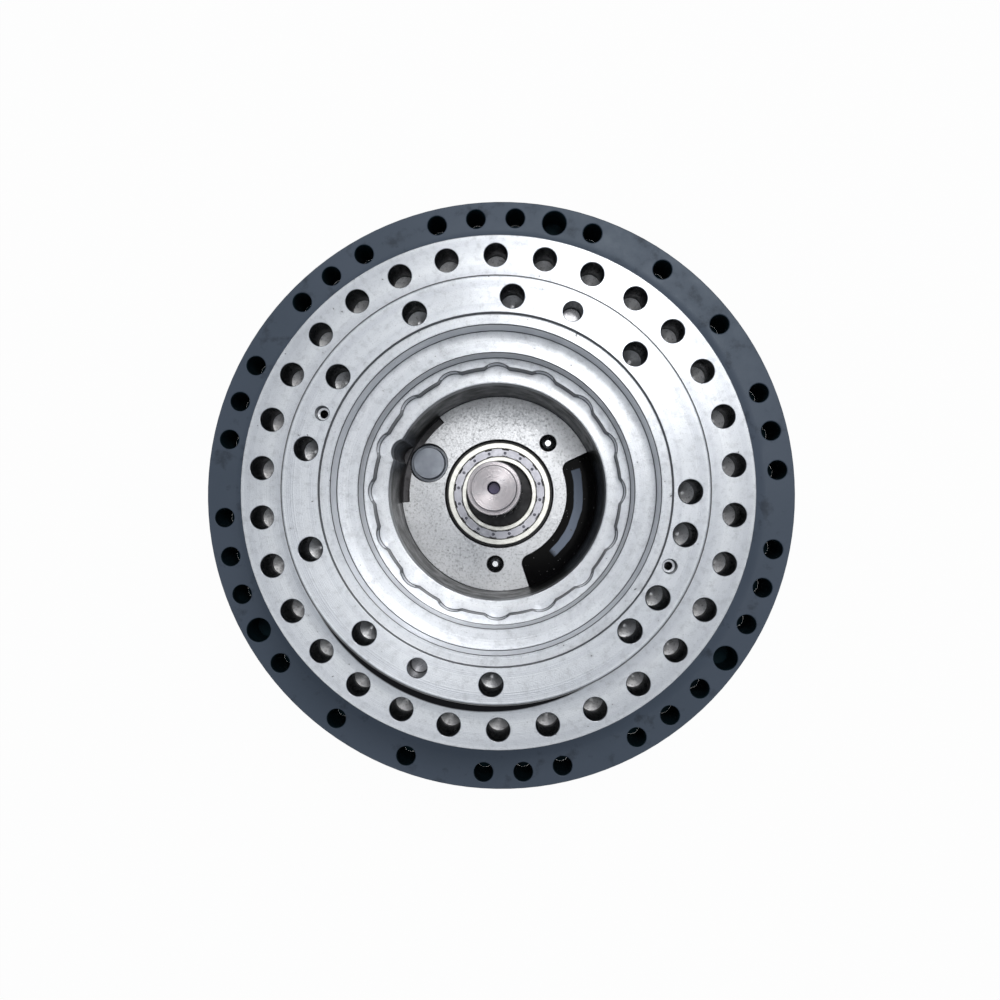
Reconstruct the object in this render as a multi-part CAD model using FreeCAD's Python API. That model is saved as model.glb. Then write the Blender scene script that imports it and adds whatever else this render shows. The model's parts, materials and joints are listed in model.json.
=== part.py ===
import FreeCAD, Part
import math
import os

# Excavator final drive: a fixed spindle that holds the travel motor, a hub that turns the track sprocket,
# and two planetary stages between them. Millimetres. Z is the drive's axis: z = 0 is the spindle's face
# against the track frame, +Z points to the motor side and the closed cover is at the bottom.

# ---- spindle, from the motor side down ----
boss_radius = 188.0
boss_top = 69.0
boss_chamfer = 1.5
spigot_radius = 154.5
spigot_floor = 64.0
brake_wall_radius = 145.0
brake_ledge = 36.0
plate_bore_radius = 125.6
plate_ledge = 8.0
scallop_base_radius = 117.0
scallop_count = 16
scallop_cutter_radius = 18.0
scallop_cutter_circle = 103.0
chamber_top = -8.0
chamber_radius = 104.4
chamber_chamfer = 0.5
chamber_floor = -103.0
flange_radius = 245.0
flange_bottom = -60.0
seal_rib_radius = 224.0
seal_rib_bottom = -76.0
seal_seat_radius = 212.0
shoulder_radius = 165.0
journal_radius = 150.0
nut_thread_radius = 147.0
spindle_end = -216.0
lower_bore_radius = 122.0
web_bottom = -162.0

# ---- holes and pockets in the spindle ----
frame_hole_count = 30
frame_hole_circle = 225.7
frame_hole_radius = 11.2
frame_hole_depth = 46.0
frame_hole_phase = 6.3
motor_hole_circle = 169.0
motor_hole_radius = 10.6
motor_hole_depth = 42.0
motor_hole_angles = (84.9, 114.6, 144.3, 167.8, 197.9, 227.7, 268.8, 313.6, 326.3, 346.6, 359.3, 44.0)
dowel_hole_radius = 8.6
dowel_hole_depth = 25.0
dowel_hole_angles = (66.4, 246.4)
port_circle = 165.0
port_radius = 3.2
port_mouth_radius = 6.2
port_mouth_depth = 8.0
port_depth = 60.0
port_angles = (156.2, 336.2)
relief_angle = 157.0
relief_circle = 97.0
relief_radius = 12.5
piston_angle = 156.4
piston_circle = 82.8
piston_hole_radius = 20.5
piston_hole_depth = 44.0
wall_recess_angles = (128.0, 185.0)
wall_recess_radius = 97.0
wall_recess_depth = 8.0
window_angles = (-72.0, 25.0)
window_radius = 72.7
window_depth = 30.0
window_corner = 9.0
pivot_circle = 75.4
pivot_radius = 8.7
pivot_depth = 18.0
pivot_angles = (46.0, 266.8)
pivot_nose_radius = 3.0
pivot_nose = (-108.0, -104.5)
piston_play = 0.05
piston_bottom = -141.0
piston_neck = (-118.0, -107.0)
piston_neck_radius = 16.9

# ---- motor shaft and its bearing ----
shaft_top = 114.0
shaft_journal_radius = 18.7
shaft_journal_length = 9.0
shaft_centre_radius = 5.0
shaft_centre_depth = 14.0
shaft_radius = 22.5
shaft_spline_top = 12.0
shaft_spline_bottom = -100.0
shaft_spline_teeth = 19
shaft_spline_root = 22.0
shaft_spline_tip = 24.8
spline_root_share = 0.3
spline_tip_share = 0.18
spline_runout = 1.0
shaft_seat_radius = 35.0
shaft_seat_top = -113.0
shaft_shoulder_radius = 39.0
shaft_shoulder_width = 4.0
shaft_seal_radius = 32.0
shaft_tail_radius = 20.0
shaft_bearing_top = -104.5
shaft_bearing_width = 20.0
shaft_bearing_radius = 55.0
shaft_bearing_rim = 48.7
shaft_cone_radius = 40.0
shaft_roller_count = 16
shaft_roller_radius = 4.0
shaft_roller_inset = 3.0
floor_gap_radius = 57.8
floor_gap_depth = 6.0
oil_seal_radius = 45.0
oil_seal_top = -130.0
oil_seal_bottom = -146.0
shaft_seal_bottom = -162.0
web_bore_radius = 36.0
coupling_radius = 33.0
coupling_top = -164.0
coupling_bottom = -212.0

# ---- hub, sprocket flange and seals ----
hub_top = -64.0
hub_neck_radius = 250.0
hub_neck_bottom = -96.0
hub_lip_radius = 228.0
hub_lip_floor = -90.0
hub_root_radius = 289.0
hub_root_sag = 4.5
hub_flange_radius = 320.0
hub_flange_top = -117.0
hub_flange_bottom = -172.0
hub_barrel_radius = 264.0
hub_bottom = -236.0
hub_mouth_radius = 200.0
hub_mouth_top = -204.0
hub_bore_bottom = -199.0
sprocket_hole_circle = 302.0
sprocket_hole_radius = 10.3
sprocket_pin_hole_radius = 13.0
sprocket_pin_hole_depth = 42.0
sprocket_pitch_count = 44
sprocket_phase = 4.9
sprocket_holes = (0, 1, 2, 4, 6, 8, 10, 11, 12, 14, 15, 16, 18, 19, 20,
                  22, 23, 24, 26, 28, 30, 32, 33, 34, 36, 37, 38, 40, 41, 42)
sprocket_pin_holes = (9, 25, 39)
seal_plane = -84.0
seal_film = 0.05
seal_bore_radius = 182.0
seal_face_radius = 206.0
seal_face_height = 5.0
seal_ramp_height = 9.0
seal_back_radius = 196.0
seal_height = 22.0
toric_gap = 0.3
toric_face_gap = 1.0
toric_back_gap = 2.0

# ---- main bearings ----
bearing_outer_radius = 190.0
bearing_width = 38.0
bearing_shoulder_radius = 178.0
bearing_shoulder = (-158.0, -150.0)
cone_radius_small = 157.0
race_rise = 7.0
roller_thickness = 15.0
bearing_play = 0.3
nut_radius = 168.0
nut_top = -196.2
nut_bottom = -213.0
nut_slot_count = 8
nut_slot_width = 14.0
nut_slot_depth = 7.0

# ---- gears ----
module = 6.0
pressure_angle = math.radians(20.0)
ring_teeth = 66
addendum = 1.0 * module
dedendum = 1.25 * module
flank_gap = 0.25
ring_radius = 262.0
ring_top = hub_bottom
ring_bottom = -392.0

second_sun_teeth = 14
second_planet_teeth = 26
second_planet_count = 4
second_gear_z = (-304.0, -244.0)
second_carrier_z = (-324.0, -218.0)
second_pocket_z = (-306.0, -242.0)

first_sun_teeth = 12
first_planet_teeth = 27
first_planet_count = 3
first_gear_z = (-384.0, -348.0)
first_carrier_z = (-398.0, -330.0)
first_pocket_z = (-386.0, -346.0)

carrier_radius = 184.0
pocket_play = 2.0
pin_radius = 26.0
pin_inset = 2.0
planet_bore_radius = 34.0
needle_play = 0.3
washer_thickness = 1.4
washer_radius = 46.0
sun_neck_radius = 33.0
sun_bore_radius = 24.0
sun_passage_radius = 54.0
lower_passage_radius = 46.0
drive_stem_radius = 20.0
collar_radius = 121.9
collar_bore_radius = 104.0
collar_top = -190.0
key_count = 12
key_width = 16.0
key_depth = 6.0
fit_play = 0.1

# ---- cover ----
cover_rim_bottom = -410.0
cover_dome_radius = 214.0
cover_dome_shoulder = 204.0
cover_bottom = -424.0
cover_cavity_radius = 194.0
cover_cavity_floor = -404.0
cover_bolt_count = 20
cover_bolt_circle = 236.0
cover_bolt_radius = 9.0
cover_bolt_play = 0.6
cover_bolt_head = 27.0
cover_bolt_head_height = 12.0
cover_bolt_top = -206.0
cover_tap_top = -202.0
plug_circle = 150.0
plug_radius = 17.0
plug_angles = (90.0, 180.0, 270.0)
plug_socket = 14.0
plug_socket_depth = 9.0
plug_recess = 0.5
button_radius = 18.0
button_top = -388.0


def point(radius, degrees=0.0, z=0.0):
    angle = math.radians(degrees)
    return FreeCAD.Vector(radius * math.cos(angle), radius * math.sin(angle), z)


def evenly(count, radius, phase=0.0):
    """Centres of equally spaced features on a circle."""
    return [point(radius, phase + 360.0 * i / count) for i in range(count)]


def outline_side(start, end, sag=0.0):
    """Straight side of an outline, or an arc whose middle is moved by sag to the right of the way it runs."""
    if not sag:
        return Part.makeLine(start, end)
    run = (end - start).normalize()
    middle = (start + end) * 0.5 + FreeCAD.Vector(run.z, 0, -run.x) * sag
    return Part.Arc(start, middle, end).toShape()


def revolve(outline, degrees=360.0):
    """Solid made by turning a closed outline of (radius, z) corners, some with the sag of the side that ends
    there, about the Z axis."""
    corners = [FreeCAD.Vector(corner[0], 0, corner[1]) for corner in outline]
    sides = [outline_side(corners[i - 1], corners[i], *outline[i][2:]) for i in range(len(outline))]
    face = Part.Face(Part.Wire(sides))
    return face.revolve(FreeCAD.Vector(0, 0, 0), FreeCAD.Vector(0, 0, 1), degrees)


def ring(inner, outer, bottom, top):
    return revolve([(inner, bottom), (outer, bottom), (outer, top), (inner, top)])


def sector(inner, outer, bottom, top, angles):
    """Part of a ring between two angles in degrees."""
    block = revolve([(inner, bottom), (outer, bottom), (outer, top), (inner, top)], angles[1] - angles[0])
    block.rotate(FreeCAD.Vector(0, 0, 0), FreeCAD.Vector(0, 0, 1), angles[0])
    return block


def upright_edges(shape, radius):
    """Edges that run along Z at a distance from the axis."""
    edges = []
    for edge in shape.Edges:
        ends = [v.Point for v in edge.Vertexes]
        if len(ends) == 2 and math.isclose(abs(ends[0].z - ends[1].z), edge.Length) \
                and math.isclose(math.hypot(ends[0].x, ends[0].y), radius):
            edges.append(edge)
    return edges


def rod(radius, bottom, top, centre=None):
    foot = FreeCAD.Vector(0, 0, bottom) + (centre or FreeCAD.Vector(0, 0, 0))
    return Part.makeCylinder(radius, top - bottom, foot)


def rods(radius, bottom, top, centres):
    return [rod(radius, bottom, top, centre) for centre in centres]


def prism(corners, bottom, top):
    """Straight solid on a closed outline of points in the XY plane."""
    face = Part.Face(Part.makePolygon(corners + corners[:1]))
    face.translate(FreeCAD.Vector(0, 0, bottom))
    return face.extrude(FreeCAD.Vector(0, 0, top - bottom))


def hexagon(across_flats, bottom, top, centre):
    corner = across_flats / math.sqrt(3.0)
    return prism([centre + point(corner, 60.0 * i) for i in range(6)], bottom, top)


def keys(count, width, inner, outer, bottom, top):
    """Radial bars of equal width, for splines and slots."""
    bars = []
    for i in range(count):
        bar = Part.makeBox(outer - inner, width, top - bottom, FreeCAD.Vector(inner, -width / 2.0, bottom))
        bar.rotate(FreeCAD.Vector(0, 0, 0), FreeCAD.Vector(0, 0, 1), 360.0 * i / count)
        bars.append(bar)
    return bars


def involute(angle):
    return math.tan(angle) - angle


def tooth_half_angle(teeth, radius, gap):
    """Half the angle that an involute tooth takes up at a radius, thinned by a gap on each flank."""
    pitch = module * teeth / 2.0
    base = pitch * math.cos(pressure_angle)
    flank = involute(math.acos(min(1.0, base / radius)))
    half = math.pi / (2.0 * teeth) + involute(pressure_angle) - flank - gap / pitch
    return math.degrees(half)


def gear_outline(teeth, root, tip, gap, turn):
    """Corners of a gear with straight-sided teeth, one of them centred on the angle turn."""
    at_root = tooth_half_angle(teeth, root, gap)
    at_tip = tooth_half_angle(teeth, tip, gap)
    corners = []
    for i in range(teeth):
        middle = turn + 360.0 * i / teeth
        corners += [point(root, middle - at_root), point(tip, middle - at_tip),
                    point(tip, middle + at_tip), point(root, middle + at_root)]
    return corners


def gear(teeth, z_range, turn):
    pitch = module * teeth / 2.0
    outline = gear_outline(teeth, pitch - dedendum, pitch + addendum, flank_gap, turn)
    return prism(outline, z_range[0], z_range[1])


def save(node, *solids):
    """Write one sub-part; several solids in a node are like pieces that sit apart."""
    shape = solids[0] if len(solids) == 1 else Part.makeCompound(list(solids))
    shape.exportStep(os.path.join("parts", node + ".step"))


def make_spindle():
    body = revolve([
        (spigot_radius, boss_top), (boss_radius - boss_chamfer, boss_top),
        (boss_radius, boss_top - boss_chamfer), (boss_radius, 0.0), (flange_radius, 0.0),
        (flange_radius, flange_bottom), (seal_rib_radius, flange_bottom), (seal_rib_radius, seal_rib_bottom),
        (seal_seat_radius, seal_rib_bottom), (seal_seat_radius, flange_bottom),
        (shoulder_radius, flange_bottom), (shoulder_radius, bearing_shoulder[1] + bearing_width),
        (journal_radius, bearing_shoulder[1] + bearing_width), (journal_radius, nut_top + fit_play),
        (nut_thread_radius, nut_top + fit_play), (nut_thread_radius, spindle_end),
        (lower_bore_radius, spindle_end), (lower_bore_radius, web_bottom), (web_bore_radius, web_bottom),
        (web_bore_radius, oil_seal_bottom), (oil_seal_radius, oil_seal_bottom),
        (oil_seal_radius, shaft_bearing_top - shaft_bearing_width),
        (shaft_bearing_radius, shaft_bearing_top - shaft_bearing_width),
        (shaft_bearing_radius, shaft_bearing_top - floor_gap_depth),
        (floor_gap_radius, shaft_bearing_top - floor_gap_depth),
        (floor_gap_radius, chamber_floor), (chamber_radius, chamber_floor),
        (chamber_radius, chamber_top - chamber_chamfer), (chamber_radius + chamber_chamfer, chamber_top),
        (scallop_base_radius, chamber_top), (scallop_base_radius, plate_ledge),
        (plate_bore_radius, plate_ledge), (plate_bore_radius, brake_ledge),
        (brake_wall_radius, brake_ledge), (brake_wall_radius, spigot_floor),
        (spigot_radius, spigot_floor)])
    window = sector(window_radius, chamber_radius, chamber_floor - window_depth, chamber_floor, window_angles)
    cuts = [window.makeFillet(window_corner, upright_edges(window, window_radius))]
    cuts += rods(frame_hole_radius, -frame_hole_depth, 0.0,
                 evenly(frame_hole_count, frame_hole_circle, frame_hole_phase))
    cuts += rods(motor_hole_radius, boss_top - motor_hole_depth, boss_top,
                 [point(motor_hole_circle, a) for a in motor_hole_angles])
    cuts += rods(dowel_hole_radius, boss_top - dowel_hole_depth, boss_top,
                 [point(motor_hole_circle, a) for a in dowel_hole_angles])
    for angle in port_angles:
        cuts.append(rod(port_radius, boss_top - port_depth, boss_top, point(port_circle, angle)))
        cuts.append(rod(port_mouth_radius, boss_top - port_mouth_depth, boss_top, point(port_circle, angle)))
    cuts += rods(scallop_cutter_radius, chamber_top, plate_ledge, evenly(scallop_count, scallop_cutter_circle))
    cuts.append(rod(relief_radius, chamber_floor, chamber_top, point(relief_circle, relief_angle)))
    cuts.append(rod(piston_hole_radius, chamber_floor - piston_hole_depth, chamber_floor,
                    point(piston_circle, piston_angle)))
    cuts.append(sector(wall_recess_radius, chamber_radius, chamber_floor - wall_recess_depth, chamber_floor,
                       wall_recess_angles))
    cuts += rods(pivot_radius, chamber_floor - pivot_depth, chamber_floor,
                 [point(pivot_circle, a) for a in pivot_angles])
    cuts += keys(key_count, key_width, collar_bore_radius, lower_bore_radius + key_depth,
                 spindle_end, collar_top)
    return body.cut(cuts)


def make_hub():
    low_race, high_race = bearing_shoulder
    body = revolve([
        (hub_lip_radius, hub_top), (hub_neck_radius, hub_top), (hub_neck_radius, hub_neck_bottom),
        (hub_root_radius, hub_flange_top, hub_root_sag), (hub_flange_radius, hub_flange_top),
        (hub_flange_radius, hub_flange_bottom), (hub_barrel_radius, hub_flange_bottom),
        (hub_barrel_radius, hub_bottom), (hub_mouth_radius, hub_bottom), (hub_mouth_radius, hub_mouth_top),
        (bearing_outer_radius, hub_bore_bottom), (bearing_outer_radius, low_race),
        (bearing_shoulder_radius, low_race), (bearing_shoulder_radius, high_race),
        (bearing_outer_radius, high_race), (bearing_outer_radius, 2 * seal_plane - flange_bottom),
        (seal_seat_radius, 2 * seal_plane - flange_bottom), (seal_seat_radius, 2 * seal_plane - seal_rib_bottom),
        (hub_lip_radius, hub_lip_floor)])
    pitch = 360.0 / sprocket_pitch_count
    cuts = rods(sprocket_hole_radius, hub_flange_bottom, hub_flange_top,
                [point(sprocket_hole_circle, sprocket_phase + pitch * i) for i in sprocket_holes])
    cuts += rods(sprocket_pin_hole_radius, hub_flange_top - sprocket_pin_hole_depth, hub_flange_top,
                 [point(sprocket_hole_circle, sprocket_phase + pitch * i) for i in sprocket_pin_holes])
    cuts += rods(cover_bolt_radius, hub_bottom, cover_tap_top, evenly(cover_bolt_count, cover_bolt_circle))
    return body.cut(cuts)


def make_seal(side):
    """Metal face ring and its squeezed rubber ring. side is 1 above the sealing plane and -1 below it."""
    start = seal_plane + side * (seal_film if side < 0 else 0.0)
    face_top = start + side * seal_face_height
    ramp_top = face_top + side * seal_ramp_height
    back = seal_plane + side * seal_height
    metal = revolve([(seal_bore_radius, start), (seal_face_radius, start), (seal_face_radius, face_top),
                     (seal_back_radius, ramp_top), (seal_back_radius, back), (seal_bore_radius, back)])
    seat = seal_seat_radius - toric_gap
    rubber_bottom = face_top + side * toric_face_gap
    rubber_top = back - side * toric_back_gap
    rubber = revolve([(seal_back_radius + toric_gap, ramp_top + side * toric_face_gap),
                      (seal_face_radius, rubber_bottom), (seat, rubber_bottom), (seat, rubber_top),
                      (seal_back_radius + toric_gap, rubber_top)])
    return metal, rubber


def make_main_bearing(side):
    """Inner ring, roller row and outer ring of a tapered bearing whose wide end faces away from the shoulder."""
    near = bearing_shoulder[1] if side > 0 else bearing_shoulder[0]
    far = near + side * bearing_width
    cone = revolve([(journal_radius, near), (cone_radius_small, near),
                    (cone_radius_small + race_rise, far), (journal_radius, far)])
    row_inner = cone_radius_small + bearing_play
    row_outer = row_inner + roller_thickness
    rollers = revolve([(row_inner, near), (row_outer, near), (row_outer + race_rise, far),
                       (row_inner + race_rise, far)])
    cup_inner = row_outer + bearing_play
    cup = revolve([(cup_inner, near), (bearing_outer_radius, near), (bearing_outer_radius, far),
                   (cup_inner + race_rise, far)])
    return cone, rollers, cup


def make_bearing_nut():
    slots = keys(nut_slot_count, nut_slot_width, nut_radius - nut_slot_depth, nut_radius + nut_slot_depth,
                 nut_bottom, nut_top)
    return ring(nut_thread_radius, nut_radius, nut_bottom, nut_top).cut(slots)


def make_ring_gear():
    pitch = module * ring_teeth / 2.0
    half_pitch = 180.0 / ring_teeth
    spaces = gear_outline(ring_teeth, pitch - addendum, pitch + dedendum, -flank_gap, half_pitch)
    holes = rods(cover_bolt_radius + cover_bolt_play, ring_bottom, ring_top,
                 evenly(cover_bolt_count, cover_bolt_circle))
    return rod(ring_radius, ring_bottom, ring_top).cut([prism(spaces, ring_bottom, ring_top)] + holes)


def planet_places(count, sun_teeth, planet_teeth):
    """Centre and turn of each planet, in mesh with the sun and with a ring tooth centred on the X axis."""
    distance = module * (sun_teeth + planet_teeth) / 2.0
    places = []
    for i in range(count):
        angle = 360.0 * i / count
        turn = 180.0 / planet_teeth + angle * (1.0 + sun_teeth / planet_teeth)
        places.append((point(distance, angle), turn))
    return places


def sun_turn(sun_teeth, planet_teeth):
    """A sun shows the X axis a tooth when its planets have an even number of teeth, and else a space."""
    return 0.0 if planet_teeth % 2 == 0 else 180.0 / sun_teeth


def make_planet(z_range, teeth, centre, turn):
    wheel = gear(teeth, z_range, turn).cut(rod(planet_bore_radius, z_range[0], z_range[1]))
    wheel.translate(centre)
    return wheel


def make_needles(z_range, centre):
    sleeve = ring(pin_radius + needle_play, planet_bore_radius - needle_play, z_range[0], z_range[1])
    sleeve.translate(centre)
    return sleeve


def make_washers(z_range, centres):
    """Thrust washers against the carrier's cheeks, one above and one below each planet."""
    washers = []
    for centre in centres:
        for low in (z_range[0], z_range[1] - washer_thickness):
            washer = ring(pin_radius, washer_radius, low, low + washer_thickness)
            washer.translate(centre)
            washers.append(washer)
    return washers


def pin_holes(z_range, centres):
    return rods(pin_radius, z_range[0] + pin_inset, z_range[1] - pin_inset, centres)


def make_carrier(z_range, pocket_z, planet_teeth, centres):
    """Cage of two cheeks and the webs between the planets, open where the planets reach the ring gear."""
    room = module * planet_teeth / 2.0 + addendum + pocket_play
    cuts = rods(room, pocket_z[0], pocket_z[1], centres) + pin_holes(z_range, centres)
    cuts.append(rod(sun_passage_radius, pocket_z[0], pocket_z[1]))
    return rod(carrier_radius, z_range[0], z_range[1]).cut(cuts)


def make_second_carrier(centres):
    """Fixed carrier of the output stage, keyed into the end of the spindle by the collar on its back."""
    cage = make_carrier(second_carrier_z, second_pocket_z, second_planet_teeth, centres)
    cage = cage.cut(rod(sun_passage_radius, second_carrier_z[0], second_carrier_z[1]))
    root = second_carrier_z[1]
    collar = [ring(collar_bore_radius, collar_radius, root, collar_top)]
    collar += keys(key_count, key_width - 2 * fit_play, collar_radius - key_depth,
                   collar_radius + key_depth, root, collar_top)
    return cage.fuse(collar).removeSplitter()


def make_first_carrier(centres):
    cage = make_carrier(first_carrier_z, first_pocket_z, first_planet_teeth, centres)
    upper = rod(sun_neck_radius, first_pocket_z[1], first_carrier_z[1])
    lower = rod(lower_passage_radius, first_carrier_z[0], first_pocket_z[0])
    return cage.cut([upper, lower])


def make_second_sun():
    """Sun of the output stage, with a neck below its teeth that the first carrier is fixed on."""
    turn = sun_turn(second_sun_teeth, second_planet_teeth)
    neck = rod(sun_neck_radius, first_pocket_z[1], second_gear_z[0])
    body = gear(second_sun_teeth, second_gear_z, turn).fuse(neck)
    return body.cut(rod(sun_bore_radius, first_pocket_z[1], second_gear_z[1]))


def make_drive_gear():
    turn = sun_turn(first_sun_teeth, first_planet_teeth)
    stem_top = (coupling_top + coupling_bottom) / 2.0
    stem = rod(drive_stem_radius, first_gear_z[1], stem_top - fit_play)
    return gear(first_sun_teeth, first_gear_z, turn).fuse(stem)


def make_motor_shaft():
    """Stepped shaft with an end journal, a splined middle, the bearing seat and a splined tail."""
    bearing_bottom = shaft_bearing_top - shaft_bearing_width
    shoulder_bottom = bearing_bottom - shaft_shoulder_width
    shaft_end = (coupling_top + coupling_bottom) / 2.0
    body = revolve([
        (0.0, shaft_top), (shaft_journal_radius, shaft_top),
        (shaft_journal_radius, shaft_top - shaft_journal_length),
        (shaft_radius, shaft_top - shaft_journal_length), (shaft_radius, shaft_seat_top),
        (shaft_seat_radius, shaft_seat_top), (shaft_seat_radius, bearing_bottom),
        (shaft_shoulder_radius, bearing_bottom), (shaft_shoulder_radius, shoulder_bottom),
        (shaft_seal_radius, shoulder_bottom), (shaft_seal_radius, shaft_seal_bottom),
        (shaft_tail_radius, shaft_seal_bottom), (shaft_tail_radius, shaft_end), (0.0, shaft_end)])
    corners = []
    pitch = 360.0 / shaft_spline_teeth
    for i in range(shaft_spline_teeth):
        corners += [point(shaft_spline_root, pitch * (i - spline_root_share)),
                    point(shaft_spline_tip, pitch * (i - spline_tip_share)),
                    point(shaft_spline_tip, pitch * (i + spline_tip_share)),
                    point(shaft_spline_root, pitch * (i + spline_root_share))]
    spline_band = ring(shaft_spline_root - spline_runout, shaft_radius + spline_runout,
                       shaft_spline_bottom, shaft_spline_top)
    teeth = prism(corners, shaft_spline_bottom, shaft_spline_top)
    centre_hole = rod(shaft_centre_radius, shaft_top - shaft_centre_depth, shaft_top)
    return body.cut(spline_band).fuse(teeth).cut(centre_hole)


def make_cover():
    body = revolve([
        (0.0, cover_cavity_floor), (cover_cavity_radius, cover_cavity_floor),
        (cover_cavity_radius, ring_bottom), (ring_radius, ring_bottom), (ring_radius, cover_rim_bottom),
        (cover_dome_radius, cover_rim_bottom), (cover_dome_shoulder, cover_bottom), (0.0, cover_bottom)])
    cuts = rods(cover_bolt_radius + cover_bolt_play, cover_rim_bottom, ring_bottom,
                evenly(cover_bolt_count, cover_bolt_circle))
    cuts += rods(plug_radius, cover_bottom, cover_cavity_floor, [point(plug_circle, a) for a in plug_angles])
    return body.cut(cuts)


def make_cover_bolts():
    bolts = []
    for centre in evenly(cover_bolt_count, cover_bolt_circle):
        head = hexagon(cover_bolt_head, cover_rim_bottom - cover_bolt_head_height, cover_rim_bottom, centre)
        bolts.append(head.fuse(rod(cover_bolt_radius, cover_rim_bottom, cover_bolt_top, centre)))
    return bolts


def make_plugs():
    plugs = []
    for angle in plug_angles:
        centre = point(plug_circle, angle)
        socket = hexagon(plug_socket, cover_bottom, cover_bottom + plug_socket_depth, centre)
        plugs.append(rod(plug_radius, cover_bottom + plug_recess, cover_cavity_floor, centre).cut(socket))
    return plugs


def make_speed_piston():
    """Round piston with a narrower head, which pushes the motor's swash plate over."""
    neck_bottom, neck_top = piston_neck
    body = rod(piston_hole_radius - piston_play, piston_bottom, neck_bottom)
    piston = body.fuse(rod(piston_neck_radius, neck_bottom, neck_top))
    piston.translate(point(piston_circle, piston_angle))
    return piston


def make_pivots():
    """Hardened round-nosed pins that the swash plate rocks on."""
    nose_bottom, nose_top = pivot_nose
    pins = []
    for angle in pivot_angles:
        shank = rod(pivot_radius, chamber_floor - pivot_depth, nose_bottom, point(pivot_circle, angle))
        nose = Part.makeCone(pivot_radius, pivot_nose_radius, nose_top - nose_bottom,
                             point(pivot_circle, angle, nose_bottom))
        pins.append(shank.fuse(nose))
    return pins


def main():
    os.makedirs("parts", exist_ok=True)
    save("spindle", make_spindle())
    save("hub", make_hub())
    save("ring_gear", make_ring_gear())
    save("cover", make_cover())
    save("cover_bolts", *make_cover_bolts())
    save("cover_plugs", *make_plugs())
    save("thrust_button", rod(button_radius, cover_cavity_floor, button_top))
    for name, side in (("upper", 1), ("lower", -1)):
        metal, rubber = make_seal(side)
        save(name + "_seal_ring", metal)
        save(name + "_seal_rubber", rubber)
        cone, rollers, cup = make_main_bearing(side)
        save(name + "_bearing_inner_ring", cone)
        save(name + "_bearing_rollers", rollers)
        save(name + "_bearing_outer_ring", cup)
    save("bearing_nut", make_bearing_nut())

    second_places = planet_places(second_planet_count, second_sun_teeth, second_planet_teeth)
    second_centres = [centre for centre, turn in second_places]
    save("second_carrier", make_second_carrier(second_centres))
    save("second_planet_pins", *pin_holes(second_carrier_z, second_centres))
    save("second_planet_washers", *make_washers(second_pocket_z, second_centres))
    for i, (centre, turn) in enumerate(second_places, 1):
        save("second_planet_gear_%d" % i, make_planet(second_gear_z, second_planet_teeth, centre, turn))
        save("second_planet_needles_%d" % i, make_needles(second_gear_z, centre))
    save("second_sun_gear", make_second_sun())

    first_places = planet_places(first_planet_count, first_sun_teeth, first_planet_teeth)
    first_centres = [centre for centre, turn in first_places]
    save("first_carrier", make_first_carrier(first_centres))
    save("first_planet_pins", *pin_holes(first_carrier_z, first_centres))
    save("first_planet_washers", *make_washers(first_pocket_z, first_centres))
    for i, (centre, turn) in enumerate(first_places, 1):
        save("first_planet_gear_%d" % i, make_planet(first_gear_z, first_planet_teeth, centre, turn))
        save("first_planet_needles_%d" % i, make_needles(first_gear_z, centre))
    save("drive_gear", make_drive_gear())
    save("shaft_coupling", ring(drive_stem_radius, coupling_radius, coupling_bottom, coupling_top))

    bearing_bottom = shaft_bearing_top - shaft_bearing_width
    save("motor_shaft", make_motor_shaft())
    save("shaft_bearing_inner_ring", ring(shaft_seat_radius, shaft_cone_radius, bearing_bottom, shaft_bearing_top))
    save("shaft_bearing_outer_ring", ring(shaft_bearing_rim, shaft_bearing_radius, bearing_bottom,
                                          shaft_bearing_top))
    row_circle = (shaft_cone_radius + shaft_bearing_rim) / 2.0
    rollers = rods(shaft_roller_radius, bearing_bottom + shaft_roller_inset,
                   shaft_bearing_top - shaft_roller_inset, evenly(shaft_roller_count, row_circle))
    cage = ring(shaft_cone_radius + bearing_play, shaft_bearing_rim - bearing_play, bearing_bottom,
                shaft_bearing_top).cut(rollers)
    save("shaft_bearing_cage", cage)
    save("shaft_bearing_rollers", *rollers)
    save("shaft_oil_seal", ring(shaft_seal_radius + fit_play, oil_seal_radius, oil_seal_bottom, oil_seal_top))
    save("speed_piston", make_speed_piston())
    save("swash_pivots", *make_pivots())


main()
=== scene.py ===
import bmesh
import bpy
import json
import math
import numpy as np
from mathutils import Matrix, Vector

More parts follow.
